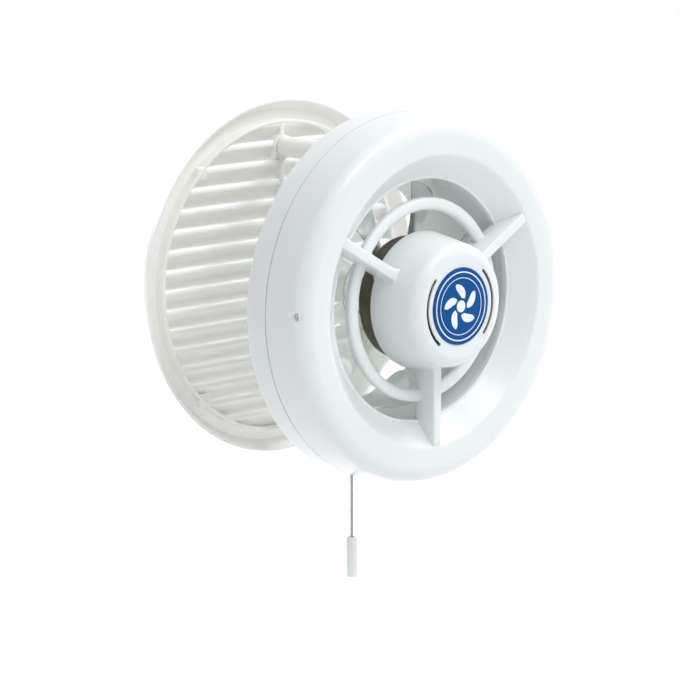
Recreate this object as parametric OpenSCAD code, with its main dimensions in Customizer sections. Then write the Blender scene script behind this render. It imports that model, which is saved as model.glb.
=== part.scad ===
// Window exhaust fan: a motor unit on the room side and a louvred grille on the outdoor side,
// clamped on the two faces of a pane or thin wall by two long screws in spacer posts.
// Millimetres. +Z up, fan axis along Y, room side towards -Y, outdoors towards +Y.
// Origin: centre of the seat plane, where the drum's flange meets the pane.

/* [Drum] */
// Outside radius of the drum
drum_r = 100; // [90:0.5:115]
// Height of the rear band, up to the seam line
band_h = 15; // [13:0.5:18]
// Width of the seam groove between band and cover
seam_gap = 0.4; // [0.2:0.1:1]
// Draft of the cover's side, in degrees
side_draft = 6; // [1:0.5:8]
// Radial width of the rounded shoulder between side and face
shoulder_w = 9.5; // [8:0.5:13]
// Height of the rounded shoulder
shoulder_t = 8; // [5:0.5:9]
// Height of the crest over the seat plane
crest_h = 41; // [39:0.5:46]
// Radial width of the front face, from the drum's side to the dish
face_w = 20; // [17:0.5:23]
// Radial width of the dish, from the crest to the air opening's lip
dish_w = 15; // [13:0.5:17]
// Edge radius between crest and dish
crest_edge = 3; // [3:0.25:5]
// Slope of the dish, in degrees
dish_slope = 40; // [37:1:46]
// Wall of the cover
cover_wall = 2.2; // [1.6:0.1:2.6]

/* [Front grille] */
// Edge radius of the air opening's lip
lip_edge = 1; // [0.5:0.25:3]
// Gap between the lip and the guard ring
ring_gap = 9.9; // [7:0.1:11]
// Radial width of the guard ring
ring_w = 6.8; // [4:0.2:8]
// Height of the guard ring, front to back
ring_t = 4.5; // [3:0.25:6]
// Number of fins that carry the hub
fin_count = 3; // [3:1:6]
// Thickness of a fin
fin_w = 5; // [3:0.25:7]
// Height of the fins' front edges
fin_front = 40; // [38:0.25:40]
// Height of the back edges of fins, ring and hub
fin_back = 28; // [26.5:0.5:29]

/* [Hub] */
// Radius of the hub at its back edge
hub_base_r = 37.2; // [36.5:0.1:40]
// Radius of the hub below its rounded front edge
hub_top_r = 33.5; // [32.5:0.1:35]
// Height of the hub's face
hub_h = 58; // [56:0.5:64]
// Radius of the rounded front edge
hub_edge = 7; // [5:0.25:8]
// Wall of the hub cup
hub_wall = 2; // [1.6:0.1:2.4]
// Radius of the round badge
badge_r = 20.5; // [16:0.5:22]
// Thickness of the badge
badge_t = 0.9; // [0.5:0.1:1.4]
// Mean radius of the two vent slots
slot_r = 24.3; // [24:0.1:25]
// Width of the vent slots
slot_w = 1.8; // [1:0.1:2.2]

/* [Rear housing] */
// Thickness of the flange plate
plate_t = 2.5; // [2:0.1:3.5]
// Wall of the band
band_wall = 2.4; // [1.8:0.1:3]
// Wall of the rim that the cover slides over
rim_wall = 1.6; // [1.2:0.1:2.2]
// Overlap of cover and rim
rim_lap = 4; // [3:0.5:6]
// Wall of the duct and of the spigot
duct_wall = 2; // [1.5:0.1:2.4]
// Radial width of the seat outside the spigot that centres in the pane's hole
seat_w = 19; // [18:0.25:20]
// Length of the spigot
spigot_len = 14; // [8:0.5:16]
// Thickness of the pane gasket, and depth of its groove
gasket_t = 3; // [2:0.25:3.5]
// Length of the duct behind the seat plane
duct_len = 32; // [16:1:45]
// Radial width of the foot between the gasket's groove and the drum's edge
foot_w = 3.5; // [3:0.25:6]

/* [Cover screws] */
// Height of the two side screws
screw_h = 36; // [34:0.5:37]
// Angle of the side screws over the horizontal
screw_angle = 2; // [0:0.5:6]
// Shank radius of a side screw
screw_r = 1.4; // [1.2:0.1:1.8]
// Head radius of a side screw
screw_head_r = 2.1; // [1.9:0.1:2.4]

/* [Outdoor grille] */
// Difference in radius between the drum and the outdoor grille
outer_step = 0; // [-3:0.5:6]
// Taper of the outdoor grille's rim towards its back
outer_taper = 4.5; // [0:0.5:6]
// Distance from the seat plane to the outdoor grille's rim
pane_gap = 80; // [50:1:100]
// Depth of the outdoor grille's frame
outer_depth = 9; // [9:0.5:12]
// Wall of the outdoor grille's rim
outer_wall = 1.8; // [1.4:0.1:2.4]
// Width of the channel between rim and inner lip
channel_w = 10.2; // [8:0.1:12]
// Distance from one slat to the next
slat_pitch = 10.8; // [9:0.1:13]
// Height of the middle slat's top over the fan's axis
slat_rise = 1.5; // [-5:0.5:5]
// Height of a slat's front edge
slat_nose = 2.6; // [2:0.1:3.8]
// Width of the central mullion
mullion_w = 3; // [2:0.25:4]

/* [Clamping posts] */
// Shank radius of a clamping screw
clamp_r = 2; // [1.5:0.25:2.5]

/* [Motor and impeller] */
// Height of the motor shell's back face
shell_back = 14; // [13.5:0.25:15]
// Height of the stator's front face
stator_front = 36; // [34:0.5:37]
// Thickness of the lamination stack
stack_t = 16.5; // [14:0.5:17]
// Wall of the motor shell
shell_wall = 1.2; // [0.8:0.1:1.4]
// Radius of the rotor
rotor_r = 13; // [11:0.25:14]
// Radius of the shaft
shaft_r = 3; // [2.5:0.1:3.5]
// Radius of the impeller's hub
fan_hub_r = 22; // [18:0.5:24]
// Gap between blade tips and duct
tip_gap = 2.7; // [1.5:0.1:4]
// Number of blades
blade_count = 7; // [4:1:8]
// Thickness of a blade at its root
blade_t = 1.8; // [1.2:0.1:2.2]

/* [Pull switch] */
// Distance of the cord from the centre plane, to the left
cord_x = 34; // [33:0.25:36]
// Height of the cord over the seat plane
cord_h = 10; // [9.5:0.1:10.4]
// Radius of the cord
cord_r = 0.9; // [0.7:0.05:1.1]
// Travel of the pull switch
pull_travel = 8; // [5:0.5:8]
// Radius of the pull handle
handle_r = 3.1; // [2.6:0.1:4]
// Length of the pull handle
handle_len = 22; // [18:0.5:40]

/* [Mains entry] */
// Radius of the cable hole in the grommet
cable_r = 3.5; // [2.5:0.25:4]
// Direction of the mains entry, from +X
entry_angle = -45; // [-60:1:-40]

/* [Hidden] */
$fn = 96;

// Named clearances
fit_gap = 0.3;        // between mouldings that slide over each other
run_gap = 0.03;       // between shaft and bearing
air_gap = 0.45;       // between rotor and poles
motor_gap = 0.6;      // between motor shell and hub cup
post_gap = 0.2;       // between a spacer post and the walls beside it
eps = 0.5;            // overlap of solids that are fused in one moulding

// Cover and housing
floor_h = gasket_t + plate_t;
crest_r = drum_r - face_w;
lip_r = crest_r - dish_w;
duct_r = lip_r + 0.2;
spigot_r = drum_r - seat_w;
gasket_in_r = spigot_r + 1.5;
gasket_out_r = drum_r - foot_w;
band_top = band_h - seam_gap / 2;
skirt_back = band_h + seam_gap / 2;
rim_top = band_h + rim_lap;
rim_r = side_r(rim_top) - cover_wall / cos(side_draft) - fit_gap;
shoulder_h = crest_h - shoulder_t;
shoulder_at_r = side_r(shoulder_h) - shoulder_w;
foot_round = 1;
collar_back = fin_back - 2.5;
duct_front = collar_back - fit_gap;
dish_top_r = crest_r - crest_edge * sin(dish_slope);
dish_top_h = crest_h - crest_edge * (1 - cos(dish_slope));
lip_cone_r = lip_r + lip_edge * (1 - sin(dish_slope));
lip_centre_h = cone_h(lip_cone_r) - lip_edge * cos(dish_slope);
gusset_count = 12;
gusset_w = 5;
gusset_t = 1.6;
screw_lug_w = 11;
screw_lug_d = 9;
screw_boss_r = 4.2;
screw_seat_r = drum_r - 5.5;
screw_lug_r = drum_r - 8;
screw_len = 9;
screw_head_t = 1.6;

// Hub and guard ring
ring_r = lip_r - ring_gap - ring_w;
hub_slope = atan2(hub_base_r - hub_top_r, hub_h - hub_edge - fin_back);
slot_angles = [[140, 90], [-42, 87]];

// Outdoor grille
outer_r = drum_r - outer_step;
outer_back_r = outer_r - outer_taper;
lip_out_r = outer_r - outer_wall - channel_w;
lip_in_r = lip_out_r - outer_wall;
lip_front = pane_gap + 0.8;
slat_front = lip_front + 0.4;
slat_back = pane_gap + outer_depth + 0.5;
slat_lap = 2.4;
slat_rows = ceil(lip_in_r / slat_pitch);
mullion_back = lip_front + 5;
mullion_hole_r = 0.9;
mullion_hole_in = 4.5;
tab_angle = 45;
tab_w = 7;

// Clamping posts stand midway between duct and spigot
post_z = (lip_r + spigot_r) / 2;
post_r = (spigot_r - duct_r) / 2 - duct_wall - post_gap;
boss_r = post_r + 1.2;
clamp_hole_r = clamp_r + fit_gap;
clamp_head_r = 2 * clamp_r;
clamp_head_t = 1.3 * clamp_r;
nut_across = 3.5 * clamp_r;
nut_t = 1.6 * clamp_r;
nut_front = pane_gap + outer_depth - nut_t - 1;

// Motor, in heights along the axis from the seat plane towards the room
motor_r = hub_base_r - hub_wall - motor_gap - (stator_front - fin_back) * tan(hub_slope);
stator_r = motor_r - shell_wall;
stator_back = stator_front - stack_t;
yoke_w = 7.5;
yoke_in_r = stator_r - yoke_w;
pole_r = rotor_r + air_gap;
pole_w = 9;
shoe_t = 2.2;
shoe_half = 33;
coil_wire = 3;
coil_gap = 0.2;
through_r = stator_r - yoke_w / 2;
through_screw_r = 1.5;
through_head_r = 2.6;
through_head_t = 1.8;
through_foot_r = 3.4;
through_spare = 4;    // depth left under the end of a through screw
through_end = hub_h - hub_wall - 3 - through_spare;
bearing_r = 2.2 * shaft_r;
bearing_wall = 2.4;
bracket_back = stator_front + coil_wire + 1;
bracket_t = 2;
front_bearing_len = 7;
rear_bearing_back = shell_back - 2.6;
rear_bearing_len = 5.4;
cage_t = 2;
washer_t = 0.5;
end_round = 2;
shell_vent_count = 8;

// Impeller
tip_r = duct_r - tip_gap;
fan_front = rear_bearing_back - 1.8;
fan_hub_len = 19;
fan_back = fan_front - fan_hub_len;
fan_mid = fan_front - fan_hub_len / 2;
fan_wall = 1.8;
fan_boss_r = shaft_r + 3.5;
fan_boss_back = fan_back + 2;
fan_rib_count = 6;
span_count = 8;       // sections along a blade
chord_count = 9;      // steps across a blade's section
root_chord = 24;
tip_chord = 40;
root_angle = 46;
tip_angle = 24;
shaft_nut_t = 4;
shaft_back = fan_boss_back - shaft_nut_t - 1;
shaft_front = bracket_back + front_bearing_len + 1;

// Pull switch
switch_w = 18;
switch_t = 12;
switch_len = 18;
switch_inset = 17;
switch_bottom = drum_r - switch_inset;
switch_top = switch_bottom - switch_len;
switch_cavity_r = 3.6;
switch_floor = 2;
plunger_r = 1.4;
plunger_head_r = 3.3;
plunger_head_t = 3.4;
plunger_end = switch_bottom + 2;
plunger_head_z = switch_bottom - switch_floor - pull_travel - 1;
lug_w = 5;
lug_h = 10;
lug_t = 2.5;
lug_screw_r = 1.2;
bushing_r = 2.9;
bushing_bore_r = 1.75;
bushing_flange_r = 3.8;
bushing_flange_t = 0.8;
bushing_end = sqrt(pow(drum_r, 2) - pow(cord_x + bushing_r, 2));
bushing_seat = sqrt(pow(rim_r - rim_wall, 2) - pow(cord_x + bushing_flange_r, 2));
handle_drop = 43;
handle_top = plunger_end + handle_drop;
handle_wall = 1;
handle_roof = 2.5;
knot_r = 1.7;

// The pull cord's route as it hangs, in X, Y and distance below the plunger's end
cord_route = [[0, 0, 0], [0, 0, 3], [0, 0, 6], [0.02, 0, 9], [0.05, 0, 12], [0.1, 0, 15],
              [0.15, 0.05, 18], [0.2, 0.1, 21], [0.2, 0.15, 24], [0.2, 0.15, 27],
              [0.15, 0.15, 30], [0.1, 0.1, 33], [0.05, 0.05, 36], [0, 0, 39], [0, 0, 42],
              [0, 0, 44.5], [0, 0, 47]];

// Mains entry
grommet_len = 9;
grommet_flange_r = cable_r + 3;
grommet_body_r = cable_r + 1.5;
grommet_flange_t = 1.5;
entry_h = 8;
block_w = 22;
block_d = 13;
block_t = 11;
block_screw_r = 1.8;
block_screw_h = 7;
block_gap = 6.8;
block_r = duct_r + duct_wall + block_gap;
block_angle = -22;

plastic = "#f1f4f1";
cream = "#eff1e8";
zinc = "#aeb2b4";
steel = "#9a9fa3";

// Placing: a piece of revolution is drawn round its own z, which points into the room
module on_axis() { rotate([90, 0, 0]) children(); }

function arc(cx, cy, rx, ry, a0, a1, n) =
    [for (i = [0:n]) let (a = a0 + (a1 - a0) * i / n) [cx + rx * cos(a), cy + ry * sin(a)]];

// Radius of the cover's side at height h
function side_r(h) = drum_r - (h - skirt_back) * tan(side_draft);

// Height of the dish's cone at radius r
function cone_h(r) = dish_top_h - (dish_top_r - r) * tan(dish_slope);

// Radius of the hub's side at height h
function hub_side_r(h) = hub_base_r - (h - fin_back) * tan(hub_slope);

module ring_solid(r_in, r_out, h0, h1) {
    rotate_extrude() translate([r_in, h0]) square([r_out - r_in, h1 - h0]);
}

// Everything under the cover's outer face, drawn in by an inset: filled to the axis
module cover_mass(inset, back) {
    rotate_extrude() polygon(concat(
        [[0, back], [side_r(back) - inset / cos(side_draft), back]],
        arc(shoulder_at_r, shoulder_h, shoulder_w - inset, shoulder_t - inset, side_draft, 90, 10),
        arc(crest_r, crest_h - crest_edge, crest_edge - inset, crest_edge - inset,
            90, 90 + dish_slope, 4),
        [[lip_cone_r, cone_h(lip_cone_r) - inset / cos(dish_slope)], [0, lip_centre_h]]));
}

// The drum's cover with its dish and the rounded lip of the air opening
module cover_shell() {
    rotate_extrude() polygon(concat(
        [[drum_r, skirt_back]],
        arc(shoulder_at_r, shoulder_h, shoulder_w, shoulder_t, side_draft, 90, 10),
        arc(crest_r, crest_h - crest_edge, crest_edge, crest_edge, 90, 90 + dish_slope, 4),
        arc(lip_r + lip_edge, lip_centre_h, lip_edge, lip_edge, 90 + dish_slope, 180, 4),
        [[lip_r, collar_back], [lip_r + cover_wall, collar_back],
         [lip_r + cover_wall, cone_h(lip_r + cover_wall) - cover_wall / cos(dish_slope)]],
        arc(crest_r, crest_h - crest_edge, crest_edge - cover_wall, crest_edge - cover_wall,
            90 + dish_slope, 90, 2),
        arc(shoulder_at_r, shoulder_h, shoulder_w - cover_wall, shoulder_t - cover_wall,
            90, side_draft, 8),
        [[drum_r - cover_wall / cos(side_draft), skirt_back]]));
}

// The hub's outer form, drawn in by an inset
module hub_mass(inset, back) {
    rotate_extrude() polygon(concat(
        [[0, back], [hub_side_r(back) - inset / cos(hub_slope), back]],
        arc(hub_top_r - hub_edge, hub_h - hub_edge, hub_edge - inset, hub_edge - inset,
            hub_slope, 90, 8),
        [[0, hub_h - inset]]));
}

// One fin: a bar with a rounded front edge, cut to run from the hub's side to the dish
module fin(angle) {
    intersection() {
        rotate([0, 0, angle]) rotate([90, 0, 90]) linear_extrude(crest_r) {
            translate([-fin_w / 2, fin_back]) square([fin_w, fin_front - fin_w / 2 - fin_back]);
            translate([0, fin_front - fin_w / 2]) circle(fin_w / 2);
        }
        rotate_extrude() polygon([
            [hub_side_r(fin_back) - hub_wall / 2, fin_back - 1],
            [lip_r + cover_wall / 2, fin_back - 1],
            [lip_r + cover_wall / 2, cone_h(lip_r) - 0.6],
            [dish_top_r + 0.8, cone_h(dish_top_r) - 0.6],
            [dish_top_r + 0.8, fin_front + 1],
            [hub_side_r(fin_front + 1) - hub_wall / 2, fin_front + 1]]);
    }
}

module guard_ring() {
    rotate_extrude() polygon(concat(
        [[ring_r, fin_back - 0.5], [ring_r + ring_w, fin_back - 0.5]],
        arc(ring_r + ring_w / 2, fin_back - 0.5 + ring_t / 2, ring_w / 2, ring_t / 2, 0, 180, 10)));
}

// Bosses for the side screws: inside the cover, and on the housing's lugs behind them
module side_screws_apart() {
    for (a = [screw_angle, 180 - screw_angle]) rotate([0, 0, a]) children();
}

module front_grille() {
    color(plastic) on_axis() difference() {
        union() {
            cover_shell();
            intersection() {
                cover_mass(cover_wall / 2, skirt_back);
                side_screws_apart() translate([screw_lug_r + fit_gap, 0, screw_h])
                    rotate([0, 90, 0]) cylinder(r = screw_boss_r, h = 12);
            }
            difference() {
                hub_mass(0, fin_back);
                difference() {
                    hub_mass(hub_wall, fin_back - 1);
                    for (a = [90, 270]) rotate([0, 0, a])
                        translate([through_r, 0, bracket_back + bracket_t])
                            cylinder(r = through_foot_r, h = hub_h);
                }
            }
            for (i = [0:fin_count - 1]) fin(30 + i * 360 / fin_count);
            guard_ring();
        }
        translate([0, 0, hub_h - badge_t / 2]) cylinder(r = badge_r + 0.1, h = 2);
        for (s = slot_angles) rotate([0, 0, s[0]]) rotate_extrude(angle = s[1])
            translate([slot_r - slot_w / 2, hub_h - 2 * hub_wall]) square([slot_w, 3 * hub_wall]);
        for (a = [90, 270]) rotate([0, 0, a]) translate([through_r, 0, 0])
            cylinder(r = through_screw_r, h = through_end + through_spare);
        side_screws_apart() translate([screw_lug_r, 0, screw_h]) rotate([0, 90, 0]) {
            cylinder(r = screw_r + 0.2, h = 20);
            translate([0, 0, screw_seat_r - screw_lug_r]) cylinder(r = screw_head_r + 0.3, h = 20);
        }
    }
}

module badge() {
    color("#1f5fa8") on_axis() translate([0, 0, hub_h - badge_t / 2])
        cylinder(r = badge_r, h = badge_t);
}

module rear_housing() {
    color(plastic) on_axis() difference() {
        union() {
            rotate_extrude() polygon([
                [duct_r, gasket_t], [spigot_r - duct_wall / 2, gasket_t],
                [spigot_r - duct_wall / 2, 0], [gasket_in_r, 0], [gasket_in_r, gasket_t],
                [gasket_out_r, gasket_t], [gasket_out_r, 0],
                [drum_r - foot_round, 0], [drum_r, foot_round],
                [drum_r, band_top], [rim_r, band_top], [rim_r, rim_top],
                [rim_r - rim_wall, rim_top], [rim_r - rim_wall, band_top - 3],
                [drum_r - band_wall, band_top - 5], [drum_r - band_wall, floor_h],
                [duct_r, floor_h]]);
            ring_solid(duct_r, duct_r + duct_wall, -duct_len, duct_front);
            ring_solid(spigot_r - duct_wall, spigot_r, -spigot_len, floor_h - eps);
            intersection() {
                cover_mass(cover_wall + fit_gap, floor_h - eps);
                side_screws_apart() difference() {
                    translate([screw_lug_r - screw_lug_d, -screw_lug_w / 2, floor_h - eps])
                        cube([screw_lug_d, screw_lug_w, screw_h + 4 - floor_h]);
                    translate([screw_lug_r - screw_lug_d - 3, -screw_lug_w / 2 + 2, floor_h])
                        cube([screw_lug_d, screw_lug_w - 4, screw_h - 7 - floor_h]);
                }
            }
            for (i = [0:gusset_count - 1]) rotate([0, 0, (i + 0.5) * 360 / gusset_count])
                translate([duct_r + duct_wall / 2, -gusset_t / 2, floor_h - eps])
                    cube([gusset_w, gusset_t, duct_front - floor_h - 4]);
        }
        for (a = [90, 270]) rotate([0, 0, a]) translate([post_z, 0, -1])
            cylinder(r = clamp_hole_r, h = floor_h + 2);
        side_screws_apart() translate([screw_lug_r - screw_lug_d - 3, 0, screw_h]) rotate([0, 90, 0])
            cylinder(r = screw_r, h = 20);
        translate([-cord_x, -drum_r, cord_h]) rotate([-90, 0, 0])
            cylinder(r = bushing_r, h = drum_r - bushing_seat + 1);
        rotate([0, 0, entry_angle]) translate([drum_r - 8, 0, entry_h]) rotate([0, 90, 0])
            cylinder(r = grommet_body_r, h = 12);
    }
}

module pane_gasket() {
    color("#3b3d3e") on_axis() ring_solid(gasket_in_r, gasket_out_r, 0, gasket_t);
}

module cover_screws() {
    color(steel) on_axis() side_screws_apart()
        translate([screw_seat_r, 0, screw_h]) rotate([0, 90, 0]) {
            translate([0, 0, -screw_len]) cylinder(r = screw_r, h = screw_len + 0.5);
            difference() {
                cylinder(r = screw_head_r, h = screw_head_t);
                for (a = [0, 90]) rotate([0, 0, a]) translate([-0.3, -1.3, screw_head_t - 0.6])
                    cube([0.6, 2.6, 1]);
            }
        }
}

// One louvre slat, as a section in Y and Z: upright front edge, blade falling outdoors
module slat(z) {
    drop = slat_pitch + slat_lap;
    depth = slat_back - slat_front;
    translate([0, slat_front, z]) rotate([90, 0, 90])
        linear_extrude(2 * lip_out_r, center = true) polygon([
            [0, 0], [0, -slat_nose], [1, -slat_nose], [depth, -drop],
            [depth, -drop + 2], [1.6, 0]]);
}

module outer_grille() {
    color(cream) difference() {
        union() {
            on_axis() rotate_extrude() polygon([
                [lip_in_r, -pane_gap - outer_depth],
                [outer_back_r - foot_round, -pane_gap - outer_depth],
                [outer_back_r, -pane_gap - outer_depth + foot_round],
                [outer_r, -pane_gap], [outer_r - outer_wall, -pane_gap],
                [outer_back_r - outer_wall, -pane_gap - outer_depth + outer_wall],
                [lip_out_r, -pane_gap - outer_depth + outer_wall],
                [lip_out_r, -lip_front], [lip_in_r, -lip_front]]);
            intersection() {
                on_axis() ring_solid(0, lip_in_r + outer_wall / 2, -slat_back - 1, -lip_front);
                union() {
                    for (k = [-slat_rows:slat_rows]) slat(k * slat_pitch + slat_rise);
                    translate([-mullion_w / 2, lip_front, -lip_out_r])
                        cube([mullion_w, mullion_back - lip_front, 2 * lip_out_r]);
                    for (sx = [-1, 1], sz = [-1, 1])
                        translate([sx * lip_in_r * cos(tab_angle) - tab_w / 2 + (sx < 0 ? 2 : -2),
                                   lip_front, sz * (lip_in_r * sin(tab_angle) + 2) - tab_w / 2])
                            cube([tab_w, 3, tab_w]);
                }
            }
            for (s = [-1, 1]) translate([0, pane_gap, s * post_z]) rotate([-90, 0, 0])
                cylinder(r = boss_r, h = outer_depth);
        }
        for (s = [-1, 1]) translate([0, pane_gap, s * post_z]) rotate([-90, 0, 0]) {
            translate([0, 0, -1]) cylinder(r = clamp_hole_r, h = outer_depth + 2);
            translate([0, 0, nut_front - pane_gap]) rotate([0, 0, 30])
                cylinder(r = (nut_across / 2 + 0.1) / cos(30), h = outer_depth, $fn = 6);
        }
        translate([-mullion_w, lip_front + 2, lip_in_r - mullion_hole_in]) rotate([0, 90, 0])
            cylinder(r = mullion_hole_r, h = 2 * mullion_w);
    }
}

module at_posts() {
    on_axis() for (a = [90, 270]) rotate([0, 0, a]) translate([post_z, 0, 0]) children();
}

module clamp_posts() {
    color(plastic) at_posts() difference() {
        translate([0, 0, -pane_gap]) cylinder(r = post_r, h = pane_gap + gasket_t);
        translate([0, 0, -pane_gap - 1]) cylinder(r = clamp_hole_r, h = pane_gap + floor_h);
    }
}

module clamp_screws() {
    color(steel) at_posts() {
        translate([0, 0, -nut_front - nut_t - 0.5])
            cylinder(r = clamp_r, h = nut_front + nut_t + 0.5 + floor_h + 0.2);
        difference() {
            translate([0, 0, floor_h]) cylinder(r = clamp_head_r, h = clamp_head_t);
            translate([-0.5, -clamp_head_r, floor_h + clamp_head_t - 1])
                cube([1, 2 * clamp_head_r, 2]);
        }
    }
}

module clamp_nuts() {
    color(steel) at_posts() translate([0, 0, -nut_front - nut_t]) difference() {
        cylinder(r = nut_across / 2 / cos(30), h = nut_t, $fn = 6);
        translate([0, 0, -1]) cylinder(r = clamp_r, h = nut_t + 2);
    }
}

// Pull switch, drawn in the row's own axes
module switch_body() {
    color("#e9e6da") difference() {
        union() {
            translate([-cord_x - switch_w / 2, -floor_h - switch_t, -switch_bottom])
                cube([switch_w, switch_t, switch_bottom - switch_top]);
            translate([-cord_x - switch_w / 2 - lug_w, -floor_h - lug_t,
                       -(switch_bottom + switch_top + lug_h) / 2])
                cube([switch_w + 2 * lug_w, lug_t, lug_h]);
        }
        translate([-cord_x, -cord_h, -switch_bottom + switch_floor])
            cylinder(r = switch_cavity_r, h = switch_bottom - switch_top - 2 * switch_floor);
        translate([-cord_x, -cord_h, -switch_bottom - 1])
            cylinder(r = plunger_r + fit_gap, h = switch_floor + 2);
        for (s = [-1, 1])
            translate([-cord_x + s * (switch_w + lug_w) / 2, 0, -(switch_bottom + switch_top) / 2])
                rotate([90, 0, 0]) cylinder(r = lug_screw_r + 0.1, h = 25);
    }
}

module switch_screws() {
    color(steel) for (s = [-1, 1])
        translate([-cord_x + s * (switch_w + lug_w) / 2, -floor_h,
                   -(switch_bottom + switch_top) / 2]) rotate([90, 0, 0]) {
            cylinder(r = lug_screw_r, h = lug_t + 0.2);
            translate([0, 0, lug_t]) cylinder(r = lug_screw_r + 1, h = 1.4);
        }
}

module switch_plunger() {
    color("#d9d5c5") translate([-cord_x, -cord_h, 0]) {
        translate([0, 0, -plunger_end])
            cylinder(r = plunger_r, h = plunger_end - plunger_head_z + 0.2);
        translate([0, 0, -plunger_head_z]) cylinder(r = plunger_head_r, h = plunger_head_t);
    }
}

module cord_bushing() {
    color(plastic) translate([-cord_x, -cord_h, -bushing_end]) difference() {
        union() {
            cylinder(r = bushing_r, h = bushing_end - bushing_seat + eps);
            translate([0, 0, bushing_end - bushing_seat])
                cylinder(r = bushing_flange_r, h = bushing_flange_t);
        }
        translate([0, 0, -1]) cylinder(r = bushing_bore_r, h = bushing_end - bushing_seat + 3);
    }
}

// A round tube swept along points that are given by their distance downwards
module hanging_tube(points, r, sides) {
    rings = [for (p = points) for (i = [0:sides - 1])
        [p[0] + r * cos(360 * i / sides), p[1] + r * sin(360 * i / sides), -p[2]]];
    n = len(points);
    walls = [for (j = [0:n - 2]) for (i = [0:sides - 1])
        [j * sides + i, j * sides + (i + 1) % sides,
         (j + 1) * sides + (i + 1) % sides, (j + 1) * sides + i]];
    top = [for (i = [0:sides - 1]) sides - 1 - i];
    bottom = [for (i = [0:sides - 1]) (n - 1) * sides + i];
    polyhedron(points = rings, faces = concat(walls, [top, bottom]));
}

module pull_cord() {
    color("#c9cdcc") translate([-cord_x, -cord_h, -plunger_end])
        hanging_tube(cord_route, cord_r, 8);
}

module cord_knot() {
    color("#c9cdcc") translate([-cord_x, -cord_h, -handle_top - handle_roof - 1.5 - knot_r])
        sphere(knot_r);
}

module pull_handle() {
    color(plastic) translate([-cord_x, -cord_h, -handle_top]) difference() {
        rotate_extrude() polygon([
            [0, 0], [handle_r - 0.8, 0], [handle_r - 0.2, -0.5], [handle_r, -2],
            [handle_r, -handle_len], [0, -handle_len]]);
        translate([0, 0, -5]) cylinder(r = cord_r + 0.15, h = 10);
        translate([0, 0, -handle_len - 1])
            cylinder(r = handle_r - handle_wall, h = handle_len + 1 - handle_roof);
    }
}

// Mains entry
module at_block() {
    on_axis() rotate([0, 0, entry_angle + block_angle]) translate([block_r, 0, floor_h]) children();
}

module terminal_block() {
    color("#ecebe4") at_block() difference() {
        translate([0, -block_w / 2, 0]) cube([block_d, block_w, block_t]);
        for (s = [-1, 1]) translate([0, s * block_w / 4, 0]) {
            translate([-1, 0, 4]) rotate([0, 90, 0]) cylinder(r = 1.8, h = block_d + 2);
            translate([block_d / 2, 0, block_screw_h])
                cylinder(r = block_screw_r + 0.2, h = block_t);
        }
        translate([block_d / 2, 0, -1]) cylinder(r = 1.5, h = block_t + 2);
    }
}

module terminal_screws() {
    color(steel) at_block() {
        for (s = [-1, 1]) translate([block_d / 2, s * block_w / 4, block_screw_h])
            difference() {
                cylinder(r = block_screw_r, h = 2.6);
                translate([-0.3, -2, 1.8]) cube([0.6, 4, 2]);
            }
        translate([block_d / 2, 0, 0]) cylinder(r = 1.4, h = block_t);
        translate([block_d / 2, 0, block_t]) cylinder(r = 2.4, h = 1.5);
    }
}

module cable_grommet() {
    color("#4a4d4f") on_axis() rotate([0, 0, entry_angle])
        translate([drum_r + grommet_flange_t - grommet_len, 0, entry_h]) rotate([0, 90, 0])
            difference() {
                union() {
                    cylinder(r = grommet_body_r, h = grommet_len);
                    translate([0, 0, grommet_len - grommet_flange_t])
                        cylinder(r = grommet_flange_r, h = grommet_flange_t);
                }
                translate([0, 0, -1]) cylinder(r = cable_r, h = grommet_len + 2);
            }
}

// Motor
module through_apart(h) {
    for (a = [90, 270]) rotate([0, 0, a]) translate([through_r, 0, h]) children();
}

module motor_shell() {
    color("#2b2523") on_axis() difference() {
        union() {
            rotate_extrude() polygon(concat(
                [[bearing_r, shell_back]],
                arc(motor_r - end_round, shell_back + end_round, end_round, end_round, -90, 0, 4),
                [[motor_r, stator_front], [stator_r, stator_front],
                 [stator_r, shell_back + shell_wall], [bearing_r, shell_back + shell_wall]]));
            ring_solid(bearing_r, bearing_r + bearing_wall, rear_bearing_back,
                       rear_bearing_back + rear_bearing_len);
        }
        for (i = [0:shell_vent_count - 1]) rotate([0, 0, (i + 0.5) * 360 / shell_vent_count])
            translate([bearing_r + bearing_wall + 3, -1.5, shell_back - 1])
                cube([yoke_in_r - bearing_r - bearing_wall - 4, 3, shell_wall + 2]);
        through_apart(shell_back - 1)
            cylinder(r = through_screw_r + 0.15, h = shell_wall + 2);
    }
}

module at_poles() { for (a = [45:90:315]) rotate([0, 0, a]) children(); }

module stator_core() {
    color("#6f7376") on_axis() difference() {
        translate([0, 0, stator_back]) linear_extrude(stack_t) difference() {
            union() {
                difference() {
                    circle(stator_r);
                    circle(yoke_in_r);
                }
                at_poles() translate([0, -pole_w / 2]) square([yoke_in_r + 1, pole_w]);
                intersection() {
                    circle(pole_r + shoe_t);
                    at_poles() polygon([[0, 0],
                        [40, -40 * tan(shoe_half)], [40, 40 * tan(shoe_half)]]);
                }
            }
            circle(pole_r);
            at_poles() translate([pole_r - 1, pole_w / 2 - 2.6]) square([shoe_t + 1.2, 1.2]);
        }
        through_apart(0) cylinder(r = through_screw_r + 0.15, h = hub_h);
    }
}

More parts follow.
